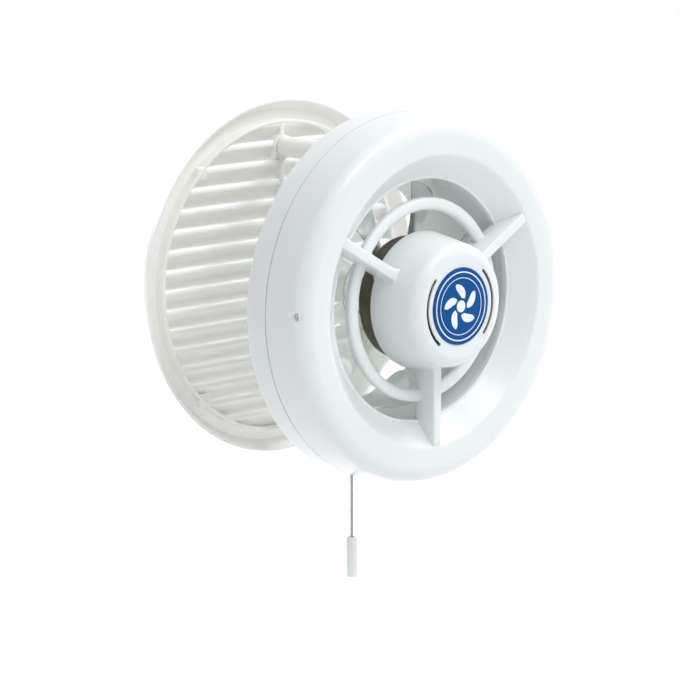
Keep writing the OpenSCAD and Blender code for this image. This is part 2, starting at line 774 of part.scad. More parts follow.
module stator_coils() {
    corner = pole_w / 2 + coil_wire;
    depth = sqrt(pow(yoke_in_r, 2) - pow(corner, 2)) - pole_r - shoe_t - 2 * coil_gap;
    color("#b4622d") on_axis() at_poles()
        translate([pole_r + shoe_t + coil_gap, 0, stator_back - coil_wire]) difference() {
            translate([0, -corner, 0])
                cube([depth, 2 * corner, stack_t + 2 * coil_wire]);
            translate([-1, -pole_w / 2 - coil_gap, coil_wire - coil_gap])
                cube([depth + 2, pole_w + 2 * coil_gap, stack_t + 2 * coil_gap]);
        }
}

// One copper ring in the notch of each pole shoe, standing proud of the stack at both ends
module shading_rings() {
    color("#c57b43") on_axis() at_poles()
        translate([pole_r + 0.2, pole_w / 2 - 2.5, stator_back - 0.8])
            cube([shoe_t - 0.2, 1, stack_t + 1.6]);
}

module motor_bracket() {
    color(zinc) on_axis() difference() {
        union() {
            translate([-5, -through_r, bracket_back]) cube([10, 2 * through_r, bracket_t]);
            through_apart(stator_front)
                cylinder(r = through_foot_r, h = bracket_back + bracket_t - stator_front);
            translate([0, 0, bracket_back])
                cylinder(r = bearing_r + bearing_wall, h = front_bearing_len);
        }
        cylinder(r = bearing_r, h = hub_h);
        through_apart(0) cylinder(r = through_screw_r + 0.15, h = hub_h);
    }
}

module front_bearing() {
    color("#b08d57") on_axis()
        ring_solid(shaft_r + run_gap, bearing_r, bracket_back, bracket_back + front_bearing_len);
}

module rear_bearing() {
    color("#b08d57") on_axis() ring_solid(shaft_r + run_gap, bearing_r,
        rear_bearing_back, rear_bearing_back + rear_bearing_len);
}

module motor_screws() {
    color(steel) on_axis() through_apart(shell_back) {
        cylinder(r = through_screw_r, h = through_end - shell_back);
        difference() {
            translate([0, 0, -through_head_t]) cylinder(r = through_head_r, h = through_head_t);
            translate([-0.35, -through_head_r - 1, -through_head_t - 0.6])
                cube([0.7, 2 * through_head_r + 2, 1.4]);
        }
    }
}

module motor_shaft() {
    color("#c3c7ca") on_axis() translate([0, 0, shaft_back])
        cylinder(r = shaft_r, h = shaft_front - shaft_back);
}

module rotor_core() {
    color("#7c8184") on_axis() {
        ring_solid(shaft_r, rotor_r, stator_back, stator_front);
        ring_solid(rotor_r * 0.55, rotor_r - 0.4, stator_back - cage_t, stator_front + cage_t);
    }
}

module thrust_washers() {
    color("#e8e2cf") on_axis() {
        ring_solid(shaft_r, shaft_r + 2, stator_front, stator_front + washer_t);
        ring_solid(shaft_r, shaft_r + 2, stator_back - washer_t, stator_back);
    }
}

// Impeller blade: sections from root to tip, each a cambered foil wrapped round the axis
function mix(a, b, t) = a + (b - a) * t;

function foil_half(s) = sqrt(max(0, 1 - pow(2 * s - 1, 4)));

// A point of the section at span t, chord fraction s, on the upper (side 1) or lower (-1) face
function blade_point(t, s, side) =
    let (r = mix(fan_hub_r - fan_wall / 2, tip_r, t),
         chord = mix(root_chord, tip_chord, t),
         pitch = mix(root_angle, tip_angle, pow(t, 0.8)),
         lift = 0.09 * chord * (1 - pow(2 * s - 1, 2)),
         off = lift + side * mix(blade_t, blade_t * 0.6, t) / 2 * max(0.3, foil_half(s)),
         along = (s - 0.5) * chord,
         u = along * cos(pitch) - off * sin(pitch),
         v = along * sin(pitch) + off * cos(pitch),
         a = u / r * 180 / PI + 10 * t)
    [r * cos(a), r * sin(a), v];

module blade() {
    n = span_count;
    m = chord_count;
    loop = 2 * (m + 1);
    points = [for (j = [0:n]) each concat(
        [for (i = [0:m]) blade_point(j / n, i / m, 1)],
        [for (i = [0:m]) blade_point(j / n, 1 - i / m, -1)])];
    skin = [for (j = [0:n - 1]) for (i = [0:loop - 1])
        let (a = j * loop + i, b = j * loop + (i + 1) % loop)
        each [[a, b, a + loop], [b, b + loop, a + loop]]];
    root = [for (i = [0:m - 1]) each [[i, 2 * m + 1 - i, i + 1],
                                      [i + 1, 2 * m + 1 - i, 2 * m - i]]];
    tip = [for (f = root) [f[0] + n * loop, f[2] + n * loop, f[1] + n * loop]];
    polyhedron(points = points, faces = concat(skin, root, tip));
}

module impeller() {
    color([0.80, 0.86, 0.83, 0.75]) on_axis() {
        for (i = [0:blade_count - 1]) rotate([0, 0, i * 360 / blade_count])
            translate([0, 0, fan_mid]) blade();
        ring_solid(fan_hub_r - fan_wall, fan_hub_r, fan_back, fan_front);
        ring_solid(shaft_r, fan_hub_r - fan_wall / 2, fan_front - 2, fan_front);
        ring_solid(shaft_r, fan_boss_r, fan_boss_back, fan_front - 1);
        for (i = [0:fan_rib_count - 1]) rotate([0, 0, i * 360 / fan_rib_count])
            translate([fan_boss_r - eps, -0.7, fan_back + 4])
                cube([fan_hub_r - fan_wall / 2 - fan_boss_r + eps, 1.4, fan_hub_len - 5]);
    }
}

module impeller_nut() {
    color(steel) on_axis() translate([0, 0, fan_boss_back - shaft_nut_t]) difference() {
        cylinder(r = 1.9 * shaft_r, h = shaft_nut_t, $fn = 6);
        translate([0, 0, -1]) cylinder(r = shaft_r, h = shaft_nut_t + 2);
    }
}

front_grille();
badge();
rear_housing();
pane_gasket();
cover_screws();
outer_grille();
clamp_posts();
clamp_screws();
clamp_nuts();
switch_body();
switch_screws();
switch_plunger();
cord_bushing();
pull_cord();
cord_knot();
pull_handle();
terminal_block();
terminal_screws();
cable_grommet();
motor_shell();
stator_core();
stator_coils();
shading_rings();
motor_bracket();
front_bearing();
rear_bearing();
motor_screws();
motor_shaft();
rotor_core();
thrust_washers();
impeller();
impeller_nut();
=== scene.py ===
import math

import bmesh
import bpy
from mathutils import Matrix, Vector


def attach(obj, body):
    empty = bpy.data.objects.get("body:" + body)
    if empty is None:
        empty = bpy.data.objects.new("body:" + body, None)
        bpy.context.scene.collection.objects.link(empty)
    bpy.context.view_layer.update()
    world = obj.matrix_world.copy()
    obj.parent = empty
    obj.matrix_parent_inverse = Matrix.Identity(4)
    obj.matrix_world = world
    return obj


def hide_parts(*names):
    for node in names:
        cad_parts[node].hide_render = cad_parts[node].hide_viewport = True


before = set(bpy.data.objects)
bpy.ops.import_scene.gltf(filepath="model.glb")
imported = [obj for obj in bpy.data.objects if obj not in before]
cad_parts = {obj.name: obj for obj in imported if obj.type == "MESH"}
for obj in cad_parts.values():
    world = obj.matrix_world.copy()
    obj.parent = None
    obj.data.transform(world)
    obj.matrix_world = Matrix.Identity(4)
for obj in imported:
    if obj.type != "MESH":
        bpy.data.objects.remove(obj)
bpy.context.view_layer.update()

MM = 0.001               # the pieces' sizes are in millimetres; camera and lamps are in metres

# ------------------------------------------------------------------ camera
# The view of the photograph: from the left and a little above, through a long lens.
# The seat plane's centre falls right of and above the picture's centre.
view_azimuth = math.radians(-44.15)
view_elevation = math.radians(9.67)
view_roll = math.radians(-0.2)
camera_distance = 1.6
lens_mm = 156.3
sensor_mm = 36.0
picture_px = 680
seat_centre_px = (384.0, 293.1)

towards_camera = Vector((math.sin(view_azimuth) * math.cos(view_elevation),
                         -math.cos(view_azimuth) * math.cos(view_elevation),
                         math.sin(view_elevation)))
view_right = Vector((math.cos(view_azimuth), math.sin(view_azimuth), 0))
view_up = towards_camera.cross(view_right)
metres_per_px = camera_distance * sensor_mm / lens_mm / picture_px
aim = (view_right * (picture_px / 2 - seat_centre_px[0])
       - view_up * (picture_px / 2 - seat_centre_px[1])) * metres_per_px

camera_data = bpy.data.cameras.new("camera")
camera_data.lens = lens_mm
camera_data.sensor_width = sensor_mm
camera_data.clip_start = 0.05
camera = bpy.data.objects.new("camera", camera_data)
bpy.context.collection.objects.link(camera)
camera.location = towards_camera * camera_distance
gaze = (aim - camera.location).to_track_quat("-Z", "Y").to_matrix().to_4x4()
camera.matrix_world = (Matrix.Translation(camera.location) @ gaze
                       @ Matrix.Rotation(view_roll, 4, "Z"))
bpy.context.scene.camera = camera

# ------------------------------------------------------------------ pull cord
# Thin grey nylon line of three twisted strands. It hangs from the switch's plunger, through
# the bushing in the drum's underside, to a knot inside the pull handle.
cord_at = (-34.0, -10.0)
cord_radius = 0.9
cord_strands, cord_lay, strand_depth = 3, 5.2, 0.22
cord_hang = [(0, 0, -85), (0, 0, -88), (0, 0, -91), (0.02, 0, -94), (0.05, 0, -97),
             (0.1, 0, -100), (0.15, 0.05, -103), (0.2, 0.1, -106), (0.2, 0.15, -109),
             (0.2, 0.15, -112), (0.15, 0.15, -115), (0.1, 0.1, -118), (0.05, 0.05, -121),
             (0, 0, -124), (0, 0, -127), (0, 0, -129.5), (0, 0, -132)]
cord_route = [Vector((cord_at[0] + x, cord_at[1] + y, z)) * MM for x, y, z in cord_hang]


def piece(name, verts, faces, crease=35):
    """A mesh object at the origin, closed, with outward faces and soft shading below the crease."""
    mesh = bpy.data.meshes.new(name)
    mesh.from_pydata([tuple(v) for v in verts], [], faces)
    return settled(name, mesh, crease)


def settled(name, mesh, crease=35):
    """Turns the faces outwards, merges doubles and links the mesh under its name."""
    form = bmesh.new()
    form.from_mesh(mesh)
    bmesh.ops.remove_doubles(form, verts=form.verts, dist=1e-6)
    bmesh.ops.recalc_face_normals(form, faces=form.faces)
    form.to_mesh(mesh)
    form.free()
    mesh.shade_smooth()
    mesh.set_sharp_from_angle(angle=math.radians(crease))
    made = bpy.data.objects.new(name, mesh)
    bpy.context.collection.objects.link(made)
    return made


def between(points, per_gap):
    """Catmull-Rom points through a list, a few for each gap."""
    padded = [points[0] * 2 - points[1], *points, points[-1] * 2 - points[-2]]
    line = []
    for i in range(len(points) - 1):
        a, b, c, d = padded[i:i + 4]
        for k in range(per_gap):
            t = k / per_gap
            line.append(0.5 * (2 * b + (c - a) * t + (2 * a - 5 * b + 4 * c - d) * t * t
                               + (3 * b - a - 3 * c + d) * t ** 3))
    return line + [points[-1]]


def laid_line(name, line, radius, strands, lay_length, sides=24):
    """A closed tube along a line that runs downwards, with the hollows between its strands."""
    verts, faces, gone = [], [], 0.0
    for i, at in enumerate(line):
        gone += (at - line[i - 1]).length if i else 0
        for k in range(sides):
            around = 2 * math.pi * k / sides
            lobe = abs(math.cos(strands / 2 * (around - 2 * math.pi * gone / lay_length)))
            r = radius * (1 - strand_depth + strand_depth * lobe ** 0.6)
            verts.append(at + Vector((math.cos(around), math.sin(around), 0)) * r)
    for i in range(len(line) - 1):
        for k in range(sides):
            m = (k + 1) % sides
            faces.append([i * sides + k, i * sides + m, (i + 1) * sides + m, (i + 1) * sides + k])
    faces.append(list(range(sides)))
    faces.append([(len(line) - 1) * sides + k for k in range(sides)])
    return piece(name, verts, faces, crease=60)


def new_tree(name, kind, inputs, outputs):
    """A node group with named inputs and outputs, as (name, socket type, default)."""
    tree = bpy.data.node_groups.new(name, kind)
    for label, socket, default in inputs:
        made = tree.interface.new_socket(label, in_out="INPUT", socket_type=socket)
        if default is not None:
            made.default_value = default
    for label, socket in outputs:
        tree.interface.new_socket(label, in_out="OUTPUT", socket_type=socket)
    return tree, tree.nodes.new("NodeGroupInput"), tree.nodes.new("NodeGroupOutput")


def skin_group():
    """Patches of colour and gloss and a fine grain, as a moulding or a fabric has them."""
    tree, given, out = new_tree("surface_skin", "ShaderNodeTree", [
        ("Color", "NodeSocketColor", (0.8, 0.8, 0.8, 1)),
        ("Patch Color", "NodeSocketColor", (0.7, 0.7, 0.7, 1)),
        ("Patch Scale", "NodeSocketFloat", 25.0),
        ("Grain Scale", "NodeSocketFloat", 900.0),
        ("Rough Low", "NodeSocketFloat", 0.25),
        ("Rough High", "NodeSocketFloat", 0.4)],
        [("Color", "NodeSocketColor"), ("Roughness", "NodeSocketFloat"),
         ("Height", "NodeSocketFloat")])
    place = tree.nodes.new("ShaderNodeTexCoord")
    patches = tree.nodes.new("ShaderNodeTexNoise")
    patches.inputs["Detail"].default_value = 3
    grain = tree.nodes.new("ShaderNodeTexNoise")
    grain.inputs["Detail"].default_value = 2
    blend = tree.nodes.new("ShaderNodeMix")
    blend.data_type = "RGBA"
    spread = tree.nodes.new("ShaderNodeMapRange")
    spread.inputs["From Min"].default_value = 0.35
    spread.inputs["From Max"].default_value = 0.65
    link = tree.links.new
    for noise, scale in ((patches, "Patch Scale"), (grain, "Grain Scale")):
        link(place.outputs["Object"], noise.inputs["Vector"])
        link(given.outputs[scale], noise.inputs["Scale"])
    link(patches.outputs["Fac"], spread.inputs["Value"])
    link(given.outputs["Rough Low"], spread.inputs["To Min"])
    link(given.outputs["Rough High"], spread.inputs["To Max"])
    link(patches.outputs["Fac"], blend.inputs["Factor"])
    link(given.outputs["Color"], blend.inputs["A"])
    link(given.outputs["Patch Color"], blend.inputs["B"])
    link(blend.outputs["Result"], out.inputs["Color"])
    link(spread.outputs["Result"], out.inputs["Roughness"])
    link(grain.outputs["Fac"], out.inputs["Height"])
    return tree


surface_skin = skin_group()


def finish(name, color, patch, patch_scale=25, grain_scale=900, rough=(0.25, 0.4),
           grain_depth=0.02, **plain):
    """A material whose colour, gloss and grain come from the skin group; plain sockets by name."""
    material = bpy.data.materials.new(name)
    material.use_nodes = True
    nodes, link = material.node_tree.nodes, material.node_tree.links.new
    shader = nodes["Principled BSDF"]
    skin = nodes.new("ShaderNodeGroup")
    skin.node_tree = surface_skin
    skin.inputs["Color"].default_value = (*color, 1)
    skin.inputs["Patch Color"].default_value = (*patch, 1)
    skin.inputs["Patch Scale"].default_value = patch_scale
    skin.inputs["Grain Scale"].default_value = grain_scale
    skin.inputs["Rough Low"].default_value = rough[0]
    skin.inputs["Rough High"].default_value = rough[1]
    bump = nodes.new("ShaderNodeBump")
    bump.inputs["Strength"].default_value = 1.0
    bump.inputs["Distance"].default_value = grain_depth * MM
    link(skin.outputs["Color"], shader.inputs["Base Color"])
    link(skin.outputs["Roughness"], shader.inputs["Roughness"])
    link(skin.outputs["Height"], bump.inputs["Height"])
    link(bump.outputs["Normal"], shader.inputs["Normal"])
    for socket, value in plain.items():
        shader.inputs[socket.replace("_", " ")].default_value = value
    return material


def dress(made, material, slot, body, *nodes):
    """Gives a finished piece its material and its body, and hides the CAD nodes it stands for. The
    slot is not used.
    """
    made.data.materials.clear()
    made.data.materials.append(material)
    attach(made, body)
    if nodes:
        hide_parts(*nodes)
    return made


def repaint(material, *nodes):
    """A CAD node whose shape is right keeps its mesh and gets a finish."""
    for node in nodes:
        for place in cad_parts[node].material_slots:
            place.material = material


nylon_line = finish("nylon_line", (0.50, 0.53, 0.52), (0.34, 0.36, 0.36), patch_scale=700,
                    grain_scale=5000, rough=(0.5, 0.7), grain_depth=0.03)
pull_line = laid_line("pull_line", between(cord_route, 6), cord_radius * MM, cord_strands,
                      cord_lay * MM)
dress(pull_line, nylon_line, "cord_nylon", "pull", "pull_cord")
repaint(nylon_line, "cord_knot")

# ------------------------------------------------------------------ white mouldings
# The cover with its dish, lip, fins, guard ring and hub cup is one injection moulding in white
# ABS. Two side screws hold it on the rear housing; the motor hangs inside the hub.
drum_r = 100.0
seam_h = 15.0
seam_half = 0.2
side_draft = math.tan(math.radians(6))
shoulder_w, shoulder_t, crest_h, crest_r = 9.5, 8.0, 41.0, 80.0
crest_edge, lip_r, lip_edge = 3.4, 65.0, 1.0
wall = 2.2
fin_back, fin_front, fin_half, fin_edge = 27.6, 41.4, 2.8, 0.8
hub_base_r, hub_top_r, hub_h, hub_edge, hub_wall = 37.2, 33.5, 58.0, 7.0, 2.0
ring_in, ring_out, ring_back, ring_front = 48.3, 55.1, 27.5, 32.0
badge_r, badge_sink, badge_gap = 20.5, 0.45, 0.15
lip_back = fin_back - 2.5          # the lip's sleeve ends a little behind the fins
turn_steps = 224

abs_white = finish("abs_white", (0.80, 0.845, 0.86), (0.785, 0.83, 0.845), patch_scale=9,
                   grain_scale=1400, rough=(0.28, 0.29), grain_depth=0.012,
                   Subsurface_Weight=0.35, Subsurface_Radius=(1, 0.97, 0.95),
                   Subsurface_Scale=3 * MM)


def arc(centre_r, centre_h, radius_r, radius_h, start, end, steps):
    """Points of an elliptic arc in an outline of radius and height, ends included."""
    return [(centre_r + radius_r * math.cos(math.radians(start + (end - start) * i / steps)),
             centre_h + radius_h * math.sin(math.radians(start + (end - start) * i / steps)))
            for i in range(steps + 1)]


def softened(corners, steps=5):
    """A closed outline whose corners (r, h, radius) are rounded where the radius isn't zero."""
    outline = []
    for i, (r, h, round_r) in enumerate(corners):
        here = Vector((r, h))
        before = Vector(corners[i - 1][:2]) - here
        after = Vector(corners[(i + 1) % len(corners)][:2]) - here
        half = before.angle(after) / 2
        if round_r <= 0 or half > math.radians(88):
            outline.append((r, h))
            continue
        reach = min(round_r / math.tan(half), before.length * 0.48, after.length * 0.48)
        true_r = reach * math.tan(half)
        start, end = here + before.normalized() * reach, here + after.normalized() * reach
        centre = here + (before.normalized() + after.normalized()).normalized() \
            * (true_r / math.sin(half))
        first, last = start - centre, end - centre
        sweep = first.angle_signed(last)
        for k in range(steps + 1):
            turn = Matrix.Rotation(-sweep * k / steps, 2)
            outline.append(tuple(centre + turn @ first))
    return outline


def turned(name, outline, steps=turn_steps, crease=35):
    """A solid of revolution round the fan's axis, from a closed outline of radius and height."""
    verts, rings, faces = [], [], []
    for r, h in outline:
        if r < 1e-6:
            rings.append([len(verts)] * steps)
            verts.append((0, -h * MM, 0))
            continue
        rings.append(list(range(len(verts), len(verts) + steps)))
        for k in range(steps):
            a = 2 * math.pi * k / steps
            verts.append((r * math.cos(a) * MM, -h * MM, r * math.sin(a) * MM))
    for i, ring in enumerate(rings):
        following = rings[(i + 1) % len(rings)]
        for k in range(steps):
            m = (k + 1) % steps
            corners = list(dict.fromkeys([ring[k], ring[m], following[m], following[k]]))
            if len(corners) > 2:
                faces.append(corners)
    return piece(name, verts, faces, crease)


def merged(name, *parts, crease=35):
    """Several closed forms of one moulding as one object."""
    form = bmesh.new()
    for part in parts:
        form.from_mesh(part.data)
        bpy.data.objects.remove(part)
    mesh = bpy.data.meshes.new(name)
    form.to_mesh(mesh)
    form.free()
    mesh.shade_smooth()
    mesh.set_sharp_from_angle(angle=math.radians(crease))
    made = bpy.data.objects.new(name, mesh)
    bpy.context.collection.objects.link(made)
    return made


def baked(made, name, crease=35):
    """The object with its modifiers applied, as a plain mesh under a new name."""
    bpy.context.view_layer.update()
    seen = made.evaluated_get(bpy.context.evaluated_depsgraph_get())
    mesh = bpy.data.meshes.new_from_object(seen)
    bpy.data.objects.remove(made)
    mesh.name = name
    mesh.materials.clear()
    return settled(name, mesh, crease)


def cut(made, cutter, name):
    """The object less the cutter."""
    saw = made.modifiers.new("cut", "BOOLEAN")
    saw.operation = "DIFFERENCE"
    saw.solver = "EXACT"
    saw.object = cutter
    done = baked(made, name)
    bpy.data.objects.remove(cutter)
    return done


def fused(name, *parts, crease=35):
    """Several closed forms of one moulding as one skin, with nothing left inside it."""
    first, rest = parts[0], merged(name + "_rest", *parts[1:])
    join = first.modifiers.new("join", "BOOLEAN")
    join.operation = "UNION"
    join.solver = "EXACT"
    join.use_self = True
    join.object = rest
    done = baked(first, name, crease)
    bpy.data.objects.remove(rest)
    return done


def prism(name, outline, low, high, bevel=0.0):
    """A flat outline in X and Z, in millimetres, made thick from one height to another."""
    n = len(outline)
    verts = [(x * MM, -h * MM, z * MM) for h in (low, high) for x, z in outline]
    faces = [list(range(n)), list(range(n, 2 * n))]
    faces += [[i, (i + 1) % n, n + (i + 1) % n, n + i] for i in range(n)]
    made = piece(name, verts, faces)
    if bevel:
        edge = made.modifiers.new("edge", "BEVEL")
        edge.width = bevel * MM
        edge.segments = 3
        edge.limit_method = "ANGLE"
        made = baked(made, name)
    return made


def rod(name, start, end, radius, steps=32):
    """A plain round cutter or pin between two points, in millimetres of the shared frame."""
    start, end = Vector(start) * MM, Vector(end) * MM
    along = (end - start).normalized()
    side = along.orthogonal().normalized()
    other = along.cross(side)
    verts = [at + (side * math.cos(2 * math.pi * k / steps)
                   + other * math.sin(2 * math.pi * k / steps)) * radius * MM
             for at in (start, end) for k in range(steps)]
    faces = [list(range(steps)), list(range(steps, 2 * steps))]
    faces += [[k, (k + 1) % steps, steps + (k + 1) % steps, steps + k] for k in range(steps)]
    return piece(name, verts, faces)


dish_slope = math.radians(42)
dish_top = (crest_r - crest_edge * math.sin(dish_slope),
            crest_h - crest_edge * (1 - math.cos(dish_slope)))


def dish_height(r):
    """Height of the dish's cone at a radius, falling from the crest to the lip."""
    return dish_top[1] - (dish_top[0] - r) * math.tan(dish_slope)


def hub_side(h):
    """Radius of the hub's tapered side at a height."""
    rise = hub_h - hub_edge - fin_back
    return hub_base_r - (h - fin_back) * (hub_base_r - hub_top_r) / rise


lip_bead_h = dish_height(lip_r + lip_edge)
shoulder_h = crest_h - shoulder_t
shoulder_r = drum_r - (shoulder_h - seam_h - seam_half) * side_draft - shoulder_w
cover_outline = softened(
    [(drum_r - wall, seam_h + seam_half, 0.3), (drum_r, seam_h + seam_half, 0.4)]
    + [(r, h, 0) for r, h in arc(shoulder_r, shoulder_h, shoulder_w, shoulder_t, 6, 90, 26)]
    + [(r, h, 0) for r, h in arc(crest_r, crest_h - crest_edge, crest_edge, crest_edge,
                                 92, 90 + math.degrees(dish_slope), 8)]
    + [(lip_r + lip_edge + 0.5, dish_height(lip_r + lip_edge + 0.5), 0.3)]
    + [(r, h, 0) for r, h in arc(lip_r + lip_edge / 2, lip_bead_h, lip_edge / 2, lip_edge / 2,
                                 60, 180, 8)]
    + [(lip_r, lip_back, 0.3), (lip_r + wall, lip_back, 0.3),
       (lip_r + wall, dish_height(lip_r + wall) - wall / math.cos(dish_slope), 0),
       (crest_r - 0.6, crest_h - crest_edge + 0.5, 0)]
    + [(r, h, 0) for r, h in arc(shoulder_r, shoulder_h, shoulder_w - wall, shoulder_t - wall,
                                 90, 6, 16)])
cover = turned("cover", cover_outline)

# counterbores of the side screws, with the bosses that close them
screw_h, screw_seat, screw_boss_back, screw_angle = 36.0, 94.5, 92.3, math.radians(2)
screw_bore_r, screw_boss_r = 2.2, 3.1


def screw_point(side, r):
    """A point on the axis of the left or the right side screw."""
    return (side * r * math.cos(screw_angle), -screw_h, r * math.sin(screw_angle))


for side in (-1, 1):
    cover = cut(cover, rod("bore", screw_point(side, screw_seat),
                           screw_point(side, drum_r + 10), screw_bore_r), "cover")
bosses = [rod("boss", screw_point(side, screw_boss_back), screw_point(side, screw_seat),
              screw_boss_r) for side in (-1, 1)]

guard_outline = softened([(ring_in, ring_back, 0.5), (ring_out, ring_back, 0.5)] + [
    (r, h, 0) for r, h in arc((ring_in + ring_out) / 2, ring_back + 2,
                              (ring_out - ring_in) / 2, ring_front - ring_back - 2, 0, 180, 14)])
guard = turned("guard", guard_outline)

hub_slope = math.degrees(math.atan2(hub_base_r - hub_top_r, hub_h - hub_edge - fin_back))
hub_outline = softened(
    [(hub_base_r - hub_wall, fin_back, 0.4), (hub_base_r, fin_back, 0.6)]
    + [(r, h, 0) for r, h in arc(hub_top_r - hub_edge, hub_h - hub_edge, hub_edge, hub_edge,
                                 hub_slope, 90, 14)]
    + [(badge_r + badge_gap, hub_h, 0.25), (badge_r + badge_gap, hub_h - badge_sink, 0),
       (0, hub_h - badge_sink, 0), (0, hub_h - hub_wall - badge_sink, 0)]
    + [(r, h, 0) for r, h in arc(hub_top_r - hub_edge, hub_h - hub_edge, hub_edge - hub_wall,
                                 hub_edge - hub_wall, 90, hub_slope, 8)])
hub = turned("hub", hub_outline)

# the two arc-shaped vents in the hub's face, with round ends: a narrow slot in a thin skin,
# and a wider pocket behind it
vent_r, vent_slot_w, vent_pocket_w, vent_skin = 24.3, 1.9, 3.6, 0.9
vent_spans = ((140, 230), (-42, 45))


def on_circle(radius, degrees):
    """A point in X and Z at a radius and an angle round the axis."""
    return (radius * math.cos(math.radians(degrees)), radius * math.sin(math.radians(degrees)))


def vent_end(degrees, turn, width):
    """The round end of a vent, as half a turn of points."""
    x, z = on_circle(vent_r, degrees)
    return [(x + width / 2 * math.cos(math.radians(degrees + turn + k * 22.5)),
             z + width / 2 * math.sin(math.radians(degrees + turn + k * 22.5)))
            for k in range(9)]


def vent(start, end, width, back, front, steps=30):
    """A cutter for one vent between two angles and two heights."""
    edge = vent_end(start, 180, width)
    edge += [on_circle(vent_r + width / 2, start + (end - start) * k / steps)
             for k in range(1, steps)]
    edge += vent_end(end, 0, width)
    edge += [on_circle(vent_r - width / 2, end + (start - end) * k / steps)
             for k in range(1, steps)]
    return prism("vent", edge, back, front)


for vent_start, vent_stop in vent_spans:
    hub = cut(hub, vent(vent_start, vent_stop, vent_pocket_w, hub_h - 4, hub_h - vent_skin), "hub")
    hub = cut(hub, vent(vent_start, vent_stop, vent_slot_w, hub_h - 1.5, hub_h + 2), "hub")

fin_count, first_fin_angle = 3, 30
fin_end_r, fin_droop, fin_sink = 75.8, 0.22, 0.9


def fin(degrees, hub_flare=1.6, dish_flare=0.5, stations=44):
    """A fin with rounded front edges, flared where it runs into the hub and the dish."""
    side_share = 1 - fin_edge / fin_half
    section = [(-1, fin_back), (1, fin_back)] + [
        (share * (side_share + (1 - side_share) * math.cos(math.radians(a))),
         fin_front - fin_edge + fin_edge * math.sin(math.radians(a)))
        for share, turns in ((1, range(0, 91, 15)), (-1, range(90, -1, -15))) for a in turns]
    verts, faces, n = [], [], len(section)
    across = Vector((-math.sin(math.radians(degrees)), 0, math.cos(math.radians(degrees))))
    out = Vector((math.cos(math.radians(degrees)), 0, math.sin(math.radians(degrees))))
    for i in range(stations + 1):
        u = 0.5 - 0.5 * math.cos(math.pi * i / stations)
        for side, h in section:
            start = hub_side(h) - fin_sink
            end = dish_top[0] + fin_sink - max(0, dish_top[1] - h) / math.tan(dish_slope)
            end = max(end, lip_r + fin_sink)
            r = start + (end - start) * u
            droop = (max(0.0, r - fin_end_r) ** 2 * fin_droop
                     * (h - fin_back) / (fin_front - fin_back))
            half = fin_half
            for flare, gap in ((hub_flare, r - hub_side(h)), (dish_flare, end - fin_sink - r)):
                root = max(0.0, flare - max(0.0, gap))
                half += flare - math.sqrt(max(0.0, flare ** 2 - root ** 2))
            verts.append((out * r + across * side * half + Vector((0, droop - h, 0))) * MM)
    for i in range(stations):
        for k in range(n):
            m = (k + 1) % n
            faces.append([i * n + k, i * n + m, (i + 1) * n + m, (i + 1) * n + k])
    faces += [list(range(n)), [stations * n + k for k in range(n)]]
    return piece("fin", verts, faces, crease=50)


fins = [fin(first_fin_angle + 360 / fin_count * i) for i in range(fin_count)]
front = fused("front_moulding", cover, guard, hub, *bosses, *fins)
dress(front, abs_white, "white_plastic", "housing", "front_grille")

# ------------------------------------------------------------------ badge
# A printed foil disc in the hub's face: blue, with white rings and a plain five-bladed rotor.
# It is glued into a shallow recess, and the print lies on it as a thin layer of ink.
badge_back, badge_face = 57.55, 58.40
badge_foil = finish("badge_foil", (0.004, 0.085, 0.31), (0.003, 0.075, 0.28), patch_scale=60,
                    grain_scale=2500, rough=(0.4, 0.5), grain_depth=0.004,
                    Specular_IOR_Level=0.08)
badge_ink = finish("badge_ink", (0.85, 0.87, 0.88), (0.80, 0.83, 0.85), patch_scale=80,
                   grain_scale=2500, rough=(0.3, 0.4), grain_depth=0.004)
foil = turned("badge_disc", softened([(0, badge_back, 0), (badge_r, badge_back, 0),
                                      (badge_r, badge_face, 0.2), (0, badge_face, 0)]))
dress(foil, badge_foil, "badge_blue", "housing", "badge")


def print_blade_outline(inner, outer, lean=34, width=40, steps=12):
    """One swept blade of the printed rotor, as points in X and Z: out on one side, back in."""
    edge = []
    for side, shares in ((-1, range(steps + 1)), (1, range(steps, -1, -1))):
        for k in shares:
            t = k / steps
            bulge = math.sin(math.pi * min(1, 0.25 + 0.75 * t)) ** 0.7
            edge.append(on_circle(inner + (outer - inner) * t, lean * t + side * width / 2 * bulge))
    return edge


